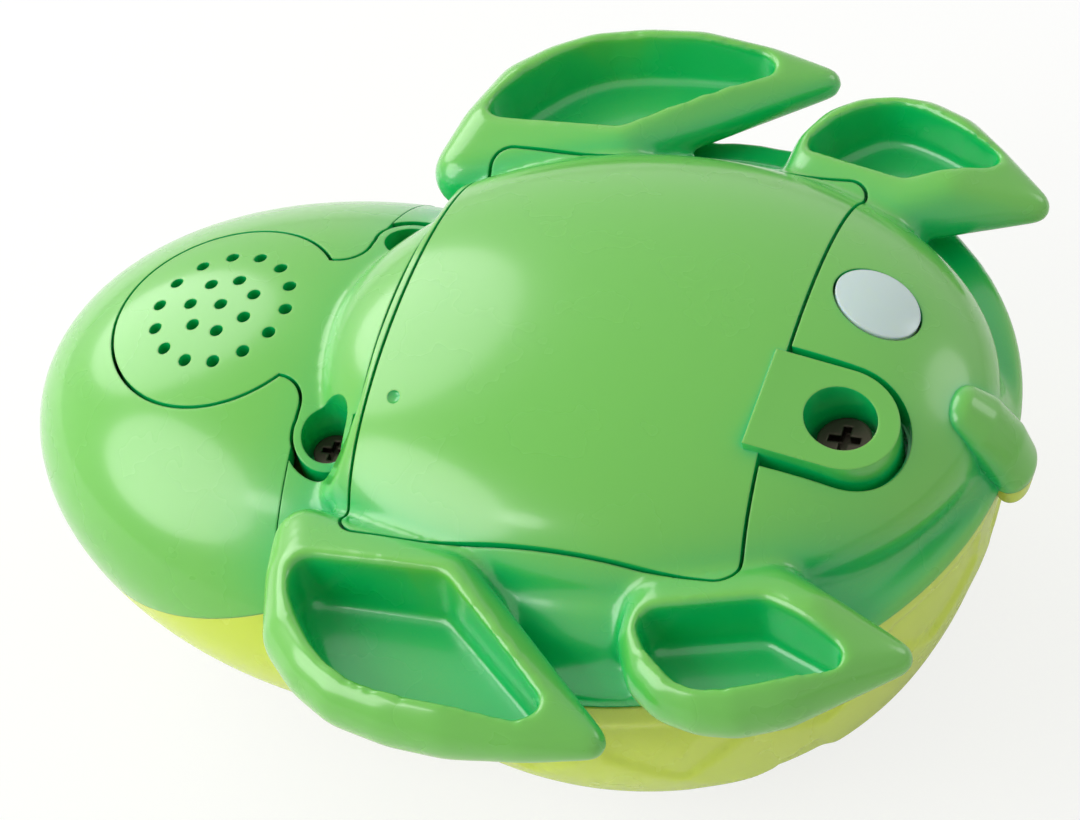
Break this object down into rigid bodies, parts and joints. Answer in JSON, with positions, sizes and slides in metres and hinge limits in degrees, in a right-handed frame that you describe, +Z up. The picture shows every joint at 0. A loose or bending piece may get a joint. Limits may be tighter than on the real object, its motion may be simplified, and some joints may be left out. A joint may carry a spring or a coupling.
{
  "type": "turtle bath toy",
  "caption": "Floating turtle bath toy lying on its back, with a sound grille, a push button, a battery cover and cupped flippers.",
  "frame": {"origin": "centre of the bounding box's bottom, on the surface that the toy's back rests on", "axes": "+X from the head to the tail, +Z up out of the belly, +Y to the toy's far side flippers"},
  "size_m": [0.1215, 0.1054, 0.0569],
  "materials": {
    "shell_lime": "gloss",
    "body_green": "gloss",
    "cover_green": "gloss",
    "box_green": "matt",
    "button_clear": "gloss",
    "white_plastic": "matt",
    "black_plastic": "matt",
    "board_green": "satin",
    "lamp_clear": "clear gloss",
    "seal_rubber": "matt",
    "cell_jacket": "satin",
    "screw_steel": "satin",
    "contact_steel": "satin",
    "lead_red": "satin",
    "lead_black": "satin"
  },
  "bodies": {
    "shell": {"carapace": "shell_lime", "head_crown": "shell_lime", "head_shell": "body_green", "neck_plate": "body_green", "belly_casing": "body_green", "flipper_front_left": "body_green", "flipper_front_right": "body_green", "flipper_rear_left": "body_green", "flipper_rear_right": "body_green", "battery_box": "box_green", "cover_seal": "seal_rubber", "battery_1": "cell_jacket", "battery_2": "cell_jacket", "battery_3": "cell_jacket", "contact_springs": "contact_steel", "contact_plates": "contact_steel", "button_clamp": "white_plastic", "push_switch": "black_plastic", "circuit_board": "board_green", "sound_chip": "black_plastic", "light_lamp": "lamp_clear", "speaker_basket": "screw_steel", "speaker_cone": "black_plastic", "speaker_magnet": "contact_steel", "speaker_gasket": "seal_rubber", "speaker_clamp": "white_plastic", "neck_screws": "screw_steel", "shell_seal": "seal_rubber", "speaker_leads": "lead_red", "battery_leads": "lead_black"},
    "cover": {"battery_cover": "cover_green", "screw_clip": "screw_steel"},
    "screw": {"battery_screw": "screw_steel"},
    "button": {"power_button": "button_clear"}
  },
  "joints": [
    {"name": "cover_lift", "type": "slide", "parent": "shell", "child": "cover", "axis": [0, 0, 1], "range_m": [0, 0.03]},
    {"name": "screw_turn", "type": "hinge", "parent": "cover", "child": "screw", "pos_m": [0.0424, -0.0098, 0.047], "axis": [0, 0, 1], "continuous": true},
    {"name": "button_push", "type": "slide", "parent": "shell", "child": "button", "axis": [-0.2999, -0.1189, -0.9465], "range_m": [0, 0.0009], "stiffness_N_per_m": 400}
  ]
}
